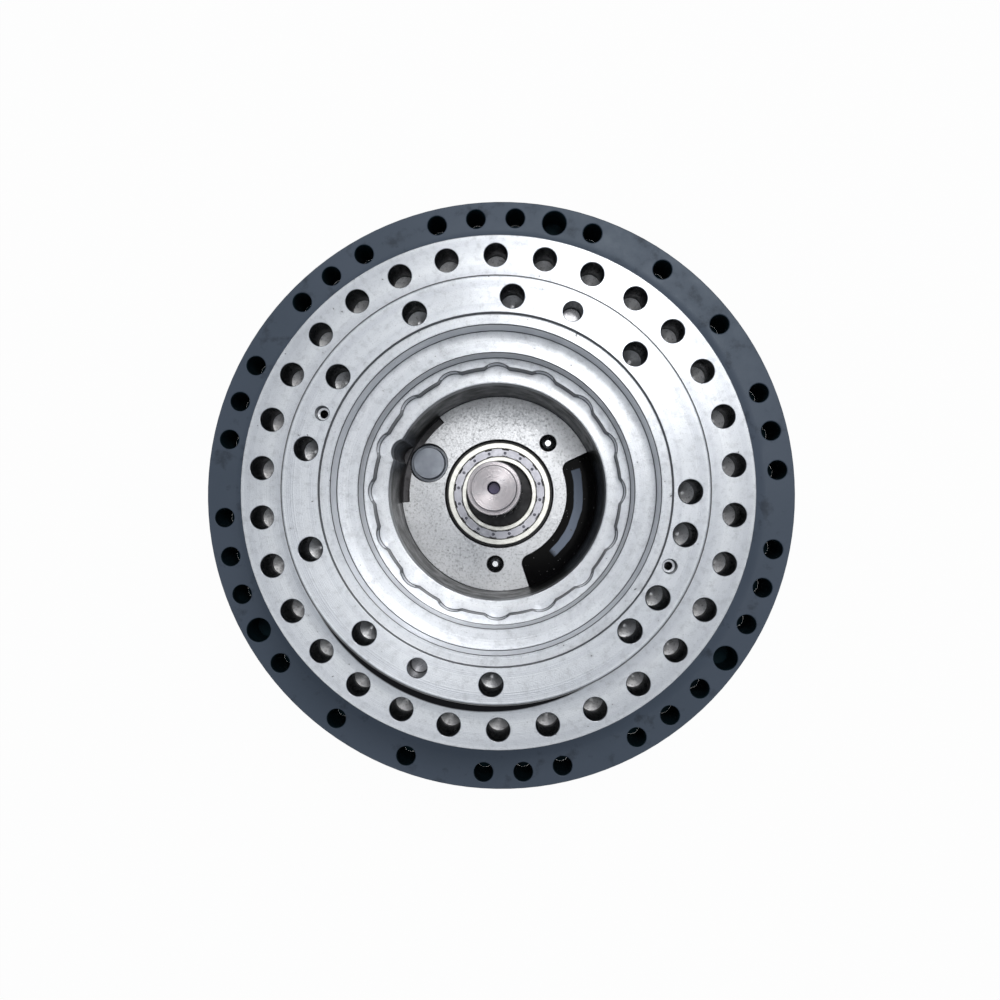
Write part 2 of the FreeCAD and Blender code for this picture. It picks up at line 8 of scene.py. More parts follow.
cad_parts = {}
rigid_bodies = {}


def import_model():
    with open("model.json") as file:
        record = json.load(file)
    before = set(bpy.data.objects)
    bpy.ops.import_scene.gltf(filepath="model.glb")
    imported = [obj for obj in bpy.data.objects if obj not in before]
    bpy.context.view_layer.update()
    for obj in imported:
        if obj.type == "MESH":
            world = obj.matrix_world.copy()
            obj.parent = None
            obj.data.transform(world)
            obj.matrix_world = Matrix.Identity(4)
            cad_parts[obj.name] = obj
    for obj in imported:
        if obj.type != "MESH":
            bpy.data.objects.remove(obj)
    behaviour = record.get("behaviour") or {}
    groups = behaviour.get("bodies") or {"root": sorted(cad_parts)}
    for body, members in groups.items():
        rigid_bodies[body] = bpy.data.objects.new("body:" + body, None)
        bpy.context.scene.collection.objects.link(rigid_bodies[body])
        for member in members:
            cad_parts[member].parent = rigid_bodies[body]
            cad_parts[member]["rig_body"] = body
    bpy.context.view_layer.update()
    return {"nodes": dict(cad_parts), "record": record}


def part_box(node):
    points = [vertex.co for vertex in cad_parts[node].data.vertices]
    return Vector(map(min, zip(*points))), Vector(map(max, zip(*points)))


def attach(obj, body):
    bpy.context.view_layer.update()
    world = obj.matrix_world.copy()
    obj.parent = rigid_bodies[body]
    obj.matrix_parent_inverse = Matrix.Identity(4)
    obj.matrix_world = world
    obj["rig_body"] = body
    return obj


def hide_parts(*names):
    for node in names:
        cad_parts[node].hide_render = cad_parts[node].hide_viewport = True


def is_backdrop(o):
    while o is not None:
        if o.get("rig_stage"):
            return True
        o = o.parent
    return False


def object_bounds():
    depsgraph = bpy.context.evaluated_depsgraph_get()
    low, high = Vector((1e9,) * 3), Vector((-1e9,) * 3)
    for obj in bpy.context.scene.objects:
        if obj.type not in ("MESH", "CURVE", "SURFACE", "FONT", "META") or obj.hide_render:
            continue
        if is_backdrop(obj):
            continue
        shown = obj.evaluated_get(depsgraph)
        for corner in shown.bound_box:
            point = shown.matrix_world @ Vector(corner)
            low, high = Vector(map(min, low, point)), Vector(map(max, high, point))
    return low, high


# Excavator final drive, seen from its motor side. Metres, in the model's own frame: Z is the drive's axis.

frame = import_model()

MM = 0.001

# ---- places on the drive, in millimetres, as the model has them ----
frame_hole_circle = 225.7
frame_hole_radius = 11.2
frame_hole_depth = 46.0
frame_hole_phase = 6.3
boss_top = 69.0
boss_hole_circle = 169.0
boss_hole_radius = 10.6
boss_hole_depth = 42.0
boss_hole_angles = (84.9, 114.6, 144.3, 167.8, 197.9, 227.7, 268.8, 313.6, 326.3, 346.6, 359.3, 44.0)
chamber_floor = -103.0
ledge_heights = (-8.0, 8.0, 36.0, 64.0, 69.0)
sprocket_hole_circle = 302.0
sprocket_pitch_count = 44
sprocket_pilot_length = 64.0
sprocket_phase = 4.9
sprocket_holes = (0, 1, 2, 4, 6, 8, 10, 11, 12, 14, 15, 16, 18, 19, 20,
                  22, 23, 24, 26, 28, 30, 32, 33, 34, 36, 37, 38, 40, 41, 42)
window_angles = (-72.0, 25.0)
window_inner = 72.7
window_outer = 104.4
oil_depth = 15.0
pivot_places = ((75.4, 46.0), (75.4, 266.8))
bearing_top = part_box("shaft_bearing_outer_ring")[1].z / MM
cage_inner = 40.3
cage_outer = 48.4
roller_circle = 44.35
roller_count = 16
roller_phase = 14.2


# ---- surfaces ----

def polar(radius, degrees, z):
    """Array of points at a radius and an angle about the drive's axis, in millimetres."""
    angle = np.radians(degrees)
    return np.stack(np.broadcast_arrays(radius * np.cos(angle), radius * np.sin(angle), z), axis=-1)


def grid_faces(rows, columns, wrap_rows=False, wrap_columns=False):
    """Quads between neighbouring points of a grid, numbered row by row."""
    r = np.arange(rows if wrap_rows else rows - 1)
    c = np.arange(columns if wrap_columns else columns - 1)
    r, c = np.meshgrid(r, c, indexing="ij")
    r2, c2 = (r + 1) % rows, (c + 1) % columns
    corners = (r * columns + c, r * columns + c2, r2 * columns + c2, r2 * columns + c)
    return np.stack(corners, -1).reshape(-1, 4)


def piece(name, points, faces, finish, body):
    """Mesh object from millimetre points and a face table, riding on a body."""
    mesh = bpy.data.meshes.new(name)
    mesh.from_pydata((np.asarray(points).reshape(-1, 3) * MM).tolist(), [], np.asarray(faces).tolist())
    mesh.update()
    work = bmesh.new()
    work.from_mesh(mesh)
    bmesh.ops.remove_doubles(work, verts=work.verts, dist=1e-7)
    work.to_mesh(mesh)
    work.free()
    mesh.polygons.foreach_set("use_smooth", np.ones(len(mesh.polygons), bool))
    mesh.set_sharp_from_angle(angle=math.radians(35))
    mesh.materials.append(finish)
    made = bpy.data.objects.new(name, mesh)
    bpy.context.scene.collection.objects.link(made)
    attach(made, body)
    return made


def patterned(points, faces, centres, spin=None):
    """Copies of one surface on several centres, each turned about its own upright axis."""
    spin = np.zeros(len(centres)) if spin is None else np.radians(spin)
    cos, sin = np.cos(spin)[:, None], np.sin(spin)[:, None]
    x, y = points[None, :, 0], points[None, :, 1]
    z = np.broadcast_to(points[None, :, 2], (len(centres), len(points)))
    turned = np.stack([x * cos - y * sin, x * sin + y * cos, z], -1) + centres[:, None, :]
    table = faces[None] + (np.arange(len(centres)) * len(points))[:, None, None]
    return turned.reshape(-1, 3), table.reshape(-1, faces.shape[1])


def lathe(profile, segments=96):
    """Surface swept by a (radius, z) line turned once about the upright axis."""
    profile = np.asarray(profile, float)
    angle = np.arange(segments) * 360.0 / segments
    points = polar(profile[None, :, 0], angle[:, None], profile[None, :, 1])
    faces = grid_faces(segments, len(profile), wrap_rows=True)
    return points.reshape(-1, 3), faces


def face_table(mesh):
    """Each face's distance from the axis and height in millimetres, the upward share of its normal, the
    share that points away from the axis, and the face's angle about the axis in degrees."""
    centre, normal = np.empty(len(mesh.polygons) * 3), np.empty(len(mesh.polygons) * 3)
    mesh.polygons.foreach_get("center", centre)
    mesh.polygons.foreach_get("normal", normal)
    centre, normal = centre.reshape(-1, 3) / MM, normal.reshape(-1, 3)
    radius = np.hypot(centre[:, 0], centre[:, 1])
    outward = (centre[:, :2] * normal[:, :2]).sum(1) / np.maximum(radius, 0.001)
    turn = np.degrees(np.arctan2(centre[:, 1], centre[:, 0])) % 360.0
    return radius, centre[:, 2], normal[:, 2], outward, turn


def dressed(node, chamfer, finish, zones=()):
    """Copy of a CAD node with its triangles joined, its flats cleaned, its edges chamfered and its curves
    smooth. Zones are pairs of a finish and a test that picks the faces that take it."""
    source = frame["nodes"][node]
    mesh = source.data.copy()
    mesh.name = node + "_finished"
    mesh.materials.clear()
    work = bmesh.new()
    work.from_mesh(mesh)
    bmesh.ops.remove_doubles(work, verts=work.verts, dist=1e-6)
    work.to_mesh(mesh)
    work.free()
    mesh.materials.append(finish)
    number = np.zeros(len(mesh.polygons), np.int32)
    for zone_finish, chosen in zones:
        mesh.materials.append(zone_finish)
        number[chosen(*face_table(mesh))] = len(mesh.materials) - 1
    mesh.polygons.foreach_set("material_index", number)
    work = bmesh.new()
    work.from_mesh(mesh)
    bmesh.ops.dissolve_limit(work, angle_limit=math.radians(0.3), verts=work.verts, edges=work.edges,
                             delimit={"MATERIAL"})
    work.to_mesh(mesh)
    work.free()
    mesh.polygons.foreach_set("use_smooth", np.ones(len(mesh.polygons), bool))
    mesh.set_sharp_from_angle(angle=math.radians(28))
    made = bpy.data.objects.new(mesh.name, mesh)
    bpy.context.scene.collection.objects.link(made)
    bevel = made.modifiers.new("chamfer", "BEVEL")
    bevel.width = chamfer * MM
    bevel.segments = 2
    bevel.limit_method = "ANGLE"
    bevel.angle_limit = math.radians(40)
    bevel.use_clamp_overlap = False
    level = made.modifiers.new("flat_normals", "WEIGHTED_NORMAL")
    level.mode = "FACE_AREA"
    level.weight = 95
    level.keep_sharp = True
    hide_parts(node)
    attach(made, source["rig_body"])
    return made


# ---- finishes ----

# Offset of the painted shadow of the boss, in metres: how far its circle sits off the axis.
boss_shadow_shift = (-0.0079, -0.0216, 0.0)


class Finish:
    """A node material in the making. make() adds a node and wires or sets its inputs."""

    def __init__(self, name, **shader_values):
        self.material = bpy.data.materials.new(name)
        self.material.use_nodes = True
        self.tree = self.material.node_tree
        self.shader = self.tree.nodes["Principled BSDF"]
        for socket, value in shader_values.items():
            self.shader.inputs[socket.replace("_", " ")].default_value = value
        self.place = self.make("TexCoord").outputs["Object"]

    def make(self, kind, inputs=None, **settings):
        node = self.tree.nodes.new("ShaderNode" + kind)
        for key, value in settings.items():
            setattr(node, key, value)
        for key, value in (inputs or {}).items():
            if isinstance(value, bpy.types.NodeSocket):
                self.tree.links.new(value, node.inputs[key])
            else:
                node.inputs[key].default_value = value
        return node

    def math(self, operation, a, b=0.0):
        return self.make("Math", {0: a, 1: b}, operation=operation).outputs[0]

    def flattened(self, place):
        """A place with its height dropped."""
        return self.make("VectorMath", {0: place, 1: (1.0, 1.0, 0.0)}, operation="MULTIPLY").outputs[0]

    def length(self, place):
        return self.make("VectorMath", {0: place}, operation="LENGTH").outputs["Value"]

    def height(self):
        """Height along the drive's axis, in metres."""
        return self.make("SeparateXYZ", {0: self.place}).outputs["Z"]

    def noise(self, scale, detail=3.0, roughness=0.55, place=None):
        node = self.make("TexNoise", {"Vector": place or self.place, "Scale": scale, "Detail": detail,
                                      "Roughness": roughness})
        return node.outputs["Fac"]

    def axis_distance(self):
        """Distance from the drive's axis, in metres."""
        return self.length(self.flattened(self.place))

    def across_rings(self):
        """Direction straight away from the axis, which is across the rings a lathe tool leaves."""
        away = self.make("VectorMath", {0: self.flattened(self.place)}, operation="NORMALIZE").outputs[0]
        turned = self.make("VectorTransform", {0: away}, vector_type="VECTOR", convert_from="OBJECT",
                           convert_to="WORLD")
        return turned.outputs[0]

    def turning(self, scale, detail=4.0):
        """Fine rings round the axis, as a lathe tool leaves them."""
        node = self.make("TexNoise", {"W": self.axis_distance(), "Scale": scale, "Detail": detail},
                         noise_dimensions="1D")
        return node.outputs["Fac"]

    def ramp(self, value, low, high, out_low=0.0, out_high=1.0):
        node = self.make("MapRange", {"Value": value, "From Min": low, "From Max": high,
                                      "To Min": out_low, "To Max": out_high})
        return node.outputs["Result"]

    def mix(self, share, a, b):
        node = self.make("Mix", {0: share, 6: a, 7: b}, data_type="RGBA")
        return node.outputs[2]

    def colour(self, socket):
        self.tree.links.new(socket, self.shader.inputs["Base Color"])

    def roughness(self, socket):
        self.tree.links.new(socket, self.shader.inputs["Roughness"])

    def bump(self, height, strength, distance):
        node = self.make("Bump", {"Height": height, "Strength": strength, "Distance": distance})
        self.tree.links.new(node.outputs["Normal"], self.shader.inputs["Normal"])


def painted_boss_shadow(finish, stains):
    """Share of the painted shadow that the boss casts on the flange: a circle of the boss's size, set a
    little to one side of it, on the flange's face only."""
    shifted = finish.make("VectorMath", {0: finish.place, 1: boss_shadow_shift}, operation="SUBTRACT").outputs[0]
    ragged = finish.math("MULTIPLY", stains, 0.0012)
    reach = finish.math("ADD", finish.length(finish.flattened(shifted)), ragged)
    on_face = finish.ramp(finish.height(), 0.003, 0.001)
    shadowed = finish.math("MULTIPLY", finish.ramp(reach, 0.1885, 0.1872), on_face)
    return finish.math("MULTIPLY", shadowed, finish.ramp(finish.axis_distance(), 0.180, 0.182))


def turned_metal(name, light, dark, roughness, ring_scale=900.0, with_painted_shadow=False):
    """Lathe-turned steel: rings round the axis, faint stains, small dark pits, and a stretched highlight;
    optionally a painted shadow of the boss on the flange's face.
    """
    finish = Finish(name, Metallic=1.0, Anisotropic=0.7)
    rings = finish.turning(ring_scale)
    bands = finish.turning(70.0, 3.0)
    stains = finish.noise(11.0, 6.0, 0.6)
    grain = finish.noise(900.0, 2.0)
    shade = finish.mix(finish.ramp(bands, 0.3, 0.7), dark, light)
    mottle = finish.noise(130.0, 6.0, 0.7)
    pits = finish.noise(260.0, 1.0)
    shade = finish.mix(finish.ramp(stains, 0.55, 0.75, 0.0, 0.4), shade, (0.36, 0.38, 0.41, 1.0))
    shade = finish.mix(finish.ramp(mottle, 0.50, 0.72, 0.0, 0.45), shade, (0.34, 0.35, 0.37, 1.0))
    shade = finish.mix(finish.ramp(grain, 0.60, 0.72, 0.0, 0.45), shade, (0.30, 0.31, 0.33, 1.0))
    shade = finish.mix(finish.ramp(pits, 0.775, 0.80, 0.0, 0.8), shade, (0.05, 0.05, 0.055, 1.0))
    # Near-black painted shadow of the boss on the flange's face.
    if with_painted_shadow:
        shade = finish.mix(painted_boss_shadow(finish, stains), shade, (0.015, 0.015, 0.017, 1.0))
    finish.colour(shade)
    ringed = finish.math("MULTIPLY", rings, 0.14)
    unevenness = finish.math("ADD", ringed, finish.math("MULTIPLY", mottle, 0.16))
    finish.roughness(finish.math("ADD", unevenness, roughness - 0.15))
    finish.bump(finish.math("ADD", rings, finish.math("MULTIPLY", grain, 0.8)), 0.32, 0.0004)
    finish.tree.links.new(finish.across_rings(), finish.shader.inputs["Tangent"])
    return finish.material


def ground_metal(name, light, dark, roughness, metallic=1.0, coat=0.0, gleam=0.5):
    """Ground or hardened steel: cloudy tone, fine scratches and slightly uneven gloss."""
    finish = Finish(name, Metallic=metallic, Coat_Weight=coat, Coat_Roughness=0.12, Specular_IOR_Level=gleam)
    cloud = finish.noise(45.0, 4.0)
    scratch_place = finish.make("Mapping", {"Vector": finish.place, "Scale": (40.0, 40.0, 900.0)}).outputs[0]
    scratches = finish.noise(6.0, 3.0, place=scratch_place)
    finish.colour(finish.mix(finish.ramp(cloud, 0.35, 0.7), dark, light))
    finish.roughness(finish.ramp(scratches, 0.3, 0.7, roughness - 0.05, roughness + 0.07))
    finish.bump(scratches, 0.1, 0.0003)
    return finish.material


def cast_metal(name, light, dark, pit, roughness, metallic, grain=420.0, depth=0.3):
    """Machined casting: fine dark speckle over a cloudy tone."""
    finish = Finish(name, Metallic=metallic)
    cloud = finish.noise(16.0, 6.0)
    speck = finish.noise(grain, 5.0, 0.75)
    shade = finish.mix(finish.ramp(cloud, 0.35, 0.68), dark, light)
    shade = finish.mix(finish.ramp(speck, 0.52, 0.70, 0.0, 0.7), shade, pit)
    finish.colour(shade)
    finish.roughness(finish.ramp(speck, 0.3, 0.7, roughness - 0.08, roughness + 0.12))
    finish.bump(speck, depth, 0.0006)
    return finish.material


def stepped_walls(name, light, dark, roughness):
    """Bored walls of the stepped mouth: light steel with a near-black line where a wall meets a ledge."""
    finish = Finish(name, Metallic=0.9)
    cloud = finish.noise(30.0, 4.0)
    height = finish.height()
    clear = finish.ramp(cloud, 0.0, 1.0, 0.9, 1.0)
    for ledge in ledge_heights:
        gap = finish.math("ABSOLUTE", finish.math("SUBTRACT", height, ledge * MM))
        clear = finish.math("MULTIPLY", clear, finish.ramp(gap, 0.0015, 0.0030))
    shade = finish.mix(finish.ramp(cloud, 0.35, 0.7), dark, light)
    finish.colour(finish.mix(clear, (0.03, 0.03, 0.034, 1.0), shade))
    finish.roughness(finish.ramp(cloud, 0.3, 0.7, roughness - 0.06, roughness + 0.08))
    finish.bump(finish.noise(700.0, 3.0), 0.1, 0.0003)
    return finish.material


def chamber_casting(name):
    """Wall of the motor chamber: a bored grey band at the mouth, then near-black painted shade down the deep
    wall, with a rippled edge and gloss.
    """
    finish = Finish(name, Metallic=0.6)
    ripple = finish.noise(60.0, 5.0)
    grain = finish.noise(500.0, 4.0, 0.7)
    height = finish.height()
    edge = finish.math("ADD", height, finish.math("MULTIPLY", finish.math("SUBTRACT", ripple, 0.5), 0.006))
    band = finish.ramp(edge, -0.026, -0.021)
    # Near-black painted shade down the deep chamber wall, below the bored band.
    painted_shade_skin = finish.mix(finish.ramp(grain, 0.5, 0.75), (0.003, 0.003, 0.0035, 1.0), (0.012, 0.012, 0.013, 1.0))
    bored = finish.mix(finish.ramp(ripple, 0.35, 0.7), (0.26, 0.27, 0.29, 1.0), (0.40, 0.41, 0.44, 1.0))
    finish.colour(finish.mix(band, painted_shade_skin, bored))
    finish.roughness(finish.ramp(ripple, 0.3, 0.7, 0.28, 0.5))
    finish.bump(grain, 0.25, 0.0005)
    return finish.material


def hub_paint(name, tone, worn, gloss):
    """Satin enamel over iron: orange-peel ripple, dull wiped patches and dark smears."""
    finish = Finish(name, Specular_IOR_Level=0.6, Specular_Tint=(0.80, 0.90, 1.0, 1.0))
    cloud = finish.noise(7.0, 5.0)
    smear_place = finish.make("Mapping", {"Vector": finish.place, "Scale": (1.0, 1.0, 3.0)}).outputs[0]
    smears = finish.noise(34.0, 6.0, 0.65, smear_place)
    shade = finish.mix(finish.ramp(cloud, 0.35, 0.7), tone, worn)
    shade = finish.mix(finish.ramp(smears, 0.56, 0.68, 0.0, 0.6), shade, (0.016, 0.019, 0.028, 1.0))
    finish.colour(shade)
    finish.roughness(finish.ramp(smears, 0.35, 0.75, gloss, gloss + 0.15))
    peel = finish.noise(420.0, 2.0)
    finish.bump(finish.math("ADD", peel, finish.math("MULTIPLY", smears, 0.6)), 0.10, 0.0005)
    return finish.material


def rubber(name):
    """Matt black nitrile with a dusty bloom."""
    finish = Finish(name)
    bloom = finish.noise(120.0, 4.0)
    black, dusty = (0.012, 0.012, 0.013, 1.0), (0.03, 0.03, 0.032, 1.0)
    finish.colour(finish.mix(finish.ramp(bloom, 0.4, 0.7), black, dusty))
    finish.roughness(finish.ramp(bloom, 0.3, 0.7, 0.55, 0.8))
    finish.bump(bloom, 0.1, 0.0003)
    return finish.material


def oil_with_painted_reflection(name):
    """Black oil with a painted reflection: a pale blue-grey curved strip painted into its colour, with a few
    specks floating on it.
    """
    finish = Finish(name, Specular_IOR_Level=0.03)
    radius = finish.axis_distance()
    ripple = finish.math("MULTIPLY", finish.math("SUBTRACT", finish.noise(40.0, 2.0), 0.5), 0.004)
    edge = finish.math("ADD", radius, ripple)
    band = finish.math("MULTIPLY", finish.ramp(edge, 0.0812, 0.0820), finish.ramp(edge, 0.0912, 0.0904))
    parts = finish.make("SeparateXYZ", {0: finish.place})
    bearing = finish.math("ARCTAN2", parts.outputs["Y"], parts.outputs["X"])
    above = finish.ramp(bearing, 0.320, 0.305)
    below = finish.ramp(bearing, -0.86, -0.80)
    band = finish.math("MULTIPLY", band, finish.math("MULTIPLY", above, below))
    specks = finish.ramp(finish.noise(420.0, 1.0), 0.74, 0.77)
    # The pale blue-grey strip is a painted reflection; the rest is black oil.
    shade = finish.mix(band, (0.003, 0.003, 0.0035, 1.0), (0.36, 0.42, 0.54, 1.0))
    finish.colour(finish.mix(specks, shade, (0.25, 0.25, 0.25, 1.0)))
    finish.roughness(finish.math("ADD", finish.math("MULTIPLY", band, 0.35), 0.10))
    return finish.material


grey_pit = (0.16, 0.165, 0.17, 1.0)
# The spindle's turned metal carries the painted shadow of the boss on its flange.
spindle_metal = turned_metal("spindle_metal", (0.74, 0.76, 0.79, 1.0), (0.62, 0.64, 0.68, 1.0), 0.40,
                             with_painted_shadow=True)
step_metal = stepped_walls("step_metal", (0.90, 0.91, 0.94, 1.0), (0.76, 0.77, 0.80, 1.0), 0.42)
edge_metal = ground_metal("edge_metal", (0.20, 0.205, 0.215, 1.0), (0.12, 0.123, 0.13, 1.0), 0.4)
hole_metal = ground_metal("hole_metal", (0.22, 0.225, 0.24, 1.0), (0.10, 0.105, 0.11, 1.0), 0.3)
hole_floor = cast_metal("hole_floor", (0.92, 0.92, 0.93, 1.0), (0.74, 0.74, 0.76, 1.0), grey_pit, 0.45, 0.6)
floor_casting = cast_metal("floor_casting", (0.68, 0.69, 0.71, 1.0), (0.52, 0.53, 0.55, 1.0), grey_pit,
                           0.35, 0.8)
recess_casting = cast_metal("recess_casting", (0.16, 0.155, 0.165, 1.0), (0.06, 0.058, 0.062, 1.0),
                            (0.02, 0.02, 0.02, 1.0), 0.5, 0.4, 240.0, 0.6)
chamber_bore_and_painted_shade = chamber_casting("chamber_bore_and_painted_shade")
# Near-black painted shade for the faces below the chamber floor, in the window pocket.
pocket_painted_shade = ground_metal("pocket_painted_shade", (0.016, 0.016, 0.018, 1.0), (0.006, 0.006, 0.007, 1.0), 0.35, 0.4)
# Dark teal on the sprocket-hole walls and floors of the hub: painted shade inside the holes.
hub_hole_painted_shade = ground_metal("hub_hole_painted_shade", (0.010, 0.030, 0.040, 1.0), (0.004, 0.012, 0.017, 1.0),
                              0.7, 0.0, gleam=0.1)
# Darker floors for the boss's tapped holes: painted shade, as of deeper holes.
tapped_floor_painted_shade = ground_metal("tapped_floor_painted_shade", (0.42, 0.42, 0.44, 1.0), (0.20, 0.20, 0.21, 1.0), 0.3)
# Near-black teal for the caps in the sprocket holes: painted shade.
cap_painted_shade = ground_metal("cap_painted_shade", (0.004, 0.040, 0.055, 1.0), (0.002, 0.020, 0.030, 1.0), 0.35, 0.0)
shaft_metal = turned_metal("shaft_metal", (0.40, 0.375, 0.39, 1.0), (0.27, 0.25, 0.26, 1.0), 0.32, 1500.0)
# Near-black steel for the motor shaft below 60 mm up.
shaft_lower_dark = ground_metal("shaft_lower_dark", (0.035, 0.035, 0.037, 1.0), (0.012, 0.012, 0.013, 1.0), 0.35, 0.7)
centre_violet = ground_metal("centre_violet", (0.05, 0.035, 0.11, 1.0), (0.010, 0.006, 0.03, 1.0), 0.25, 0.3)
piston_metal = ground_metal("piston_metal", (0.36, 0.40, 0.47, 1.0), (0.24, 0.27, 0.33, 1.0), 0.4, 0.3, 0.5)
pivot_metal = ground_metal("pivot_metal", (0.08, 0.08, 0.085, 1.0), (0.03, 0.03, 0.032, 1.0), 0.36)
pin_metal = ground_metal("pin_metal", (0.60, 0.61, 0.63, 1.0), (0.48, 0.49, 0.51, 1.0), 0.24)
race_metal = ground_metal("race_metal", (0.97, 0.96, 0.90, 1.0), (0.90, 0.89, 0.83, 1.0), 0.34, 0.55)
cage_metal = ground_metal("cage_metal", (0.74, 0.74, 0.80, 1.0), (0.62, 0.62, 0.69, 1.0), 0.42, 0.5)
rivet_metal = ground_metal("rivet_metal", (0.46, 0.46, 0.54, 1.0), (0.36, 0.36, 0.43, 1.0), 0.4, 0.5)
gear_metal = ground_metal("gear_metal", (0.56, 0.57, 0.58, 1.0), (0.42, 0.43, 0.45, 1.0), 0.3)
bolt_metal = ground_metal("bolt_metal", (0.40, 0.41, 0.43, 1.0), (0.30, 0.31, 0.33, 1.0), 0.36)
bronze_metal = ground_metal("bronze_metal", (0.66, 0.46, 0.22, 1.0), (0.52, 0.35, 0.16, 1.0), 0.34)
carrier_metal = cast_metal("carrier_metal", (0.36, 0.37, 0.38, 1.0), (0.26, 0.27, 0.28, 1.0), grey_pit,
                           0.5, 0.8)
seal_metal = cast_metal("seal_metal", (0.45, 0.45, 0.46, 1.0), (0.34, 0.34, 0.35, 1.0), grey_pit, 0.35, 0.9)
body_paint = hub_paint("body_paint", (0.070, 0.090, 0.124, 1.0), (0.086, 0.106, 0.145, 1.0), 0.40)
seal_rubber = rubber("seal_rubber")
oil_black_with_painted_reflection = oil_with_painted_reflection("oil_black_with_painted_reflection")

slot_finish = {
    "machined_casting": spindle_metal,
    "painted_iron": body_paint,
    "zinc_bolt": bolt_metal,
    "hardened_steel": pin_metal,
    "machined_steel": shaft_metal,
    "carrier_iron": carrier_metal,
    "bronze": bronze_metal,
    "gear_steel": gear_metal,
    "bearing_steel": race_metal,
    "cage_steel": cage_metal,
    "seal_iron": seal_metal,
    "seal_rubber": seal_rubber,
}


def finish_every_node():
    """Each CAD node takes the finish of its material slot."""
    for part in frame["record"]["subparts"]:
        mesh = frame["nodes"][part["node"]].data
        mesh.materials.clear()
        mesh.materials.append(slot_finish[part["material_slot"]])


# ---- pieces ----

def circle_centres(count, radius, phase, z):
    return polar(radius, phase + np.arange(count) * 360.0 / count, z)


def drill_points(name, centres, radius, tip_z, finish):
    """Cone that a drill leaves at the foot of each hole: the wall's radius falls to nothing at the tip."""
    steepness = math.tan(math.radians(20.0))
    share = np.linspace(1.0, 0.0, 5)
    points, faces = lathe(np.stack([radius * share, tip_z + radius * share * steepness], -1), 24)
    points, faces = patterned(points, faces, centres)
    return piece(name, points, faces, finish, "spindle")


def threads(name, centres, radius, top, length, pitch):
    """Helix of one ridge per turn: the radius dips from the wall to the crest and back over each pitch."""
    turns = length / pitch
    steps = np.linspace(0.0, 1.0, int(turns * 24) + 1)
    angle = steps * turns * 360.0
    across = np.array([-0.42, -0.06, 0.06, 0.42])
    reach = np.array([0.0, 0.6, 0.6, 0.0])
    z = top - 2.4 - steps[:, None] * length + across[None, :] * pitch
    points = polar((radius + 0.02 - reach)[None, :], angle[:, None], z).reshape(-1, 3)
    points, faces = patterned(points, grid_faces(len(steps), 4), centres)
    return piece(name, points, faces, hole_metal, "spindle")


def rim(inner, outer, low, high):
    """Flat ring with bevelled corners: six corners of its section carried round the axis. Its radii are
    arrays, one value for each step round."""
    angle = np.arange(len(inner)) * 360.0 / len(inner)
    bevel = 0.25
    rows = [(inner, low), (inner, high - bevel), (inner + bevel, high), (outer - bevel, high),
            (outer, high - bevel), (outer, low)]
    points = np.stack([polar(r, angle, np.full(len(angle), z)) for r, z in rows], axis=1)
    return points.reshape(-1, 3), grid_faces(len(angle), len(rows), wrap_rows=True, wrap_columns=True)


def joined(*surfaces):
    """One surface from several, with each face table counted on past the points before it."""
    start = np.cumsum([0] + [len(points) for points, faces in surfaces[:-1]])
    return (np.concatenate([points for points, faces in surfaces]),
            np.concatenate([faces + first for (points, faces), first in zip(surfaces, start)]))


def roller_cage():
    """Cage of two rims and a bar between each two rollers. The upper rim steps in at every pocket, where the
    dark gap beside the roller's end shows."""
    steps = 960
    angle = np.arange(steps) * 360.0 / steps
    pitch = 360.0 / roller_count
    offset = np.abs((angle - roller_phase + pitch / 2) % pitch - pitch / 2)
    pocket = np.clip((4.7 - offset) / 0.5, 0.0, 1.0)
    even = np.ones(steps)
    upper = rim(cage_inner + 0.7 * pocket, cage_outer - 1.3 * pocket, bearing_top - 2.8, bearing_top - 0.4)
    lower = rim(cage_inner * even, cage_outer * even, bearing_top - 20.0, bearing_top - 17.2)
    middle = (cage_inner + cage_outer) / 2.0
    bar = np.array([[x, y, z] for z in (bearing_top - 17.3, bearing_top - 2.7)
                    for x, y in ((-2.8, -2.6), (2.8, -2.6), (2.8, 3.4), (-2.8, 3.4))])
    sides = np.array([[0, 1, 5, 4], [1, 2, 6, 5], [2, 3, 7, 6], [3, 0, 4, 7], [3, 2, 1, 0], [4, 5, 6, 7]])
    turns = roller_phase + pitch / 2 + np.arange(roller_count) * pitch
    bars = patterned(bar, sides, polar(middle, turns, 0.0), turns)
    points, faces = joined(upper, lower, bars)
    made = piece("roller_cage", points, faces, cage_metal, "shaft_rollers")
    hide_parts("shaft_bearing_cage")


def cage_rivets():
    """Peened rivet heads on the cage: a low rim round a dimple."""
    share = np.linspace(0.0, 1.0, 7)
    profile = np.stack([1.7 * share, 0.36 * np.sin(share * np.pi) ** 2 + 0.02], -1)[::-1]
    points, faces = lathe(profile, 20)
    middle = (cage_inner + cage_outer) / 2.0 - 0.3
    centres = circle_centres(roller_count, middle, roller_phase, bearing_top - 0.4)
    points, faces = patterned(points, faces, centres)
    return piece("cage_rivets", points, faces, rivet_metal, "shaft_rollers")


def window_oil():
    """Level oil surface that fills the window pocket: a patch between two radii and two angles."""
    angle = np.linspace(window_angles[0] + 0.3, window_angles[1] - 0.3, 60)
    radius = np.linspace(window_inner + 0.2, window_outer - 0.2, 12)
    points = polar(radius[None, :], angle[:, None], chamber_floor - oil_depth)
    faces = grid_faces(len(angle), len(radius))[:, ::-1]
    return piece("window_oil", points, faces, oil_black_with_painted_reflection, "spindle")


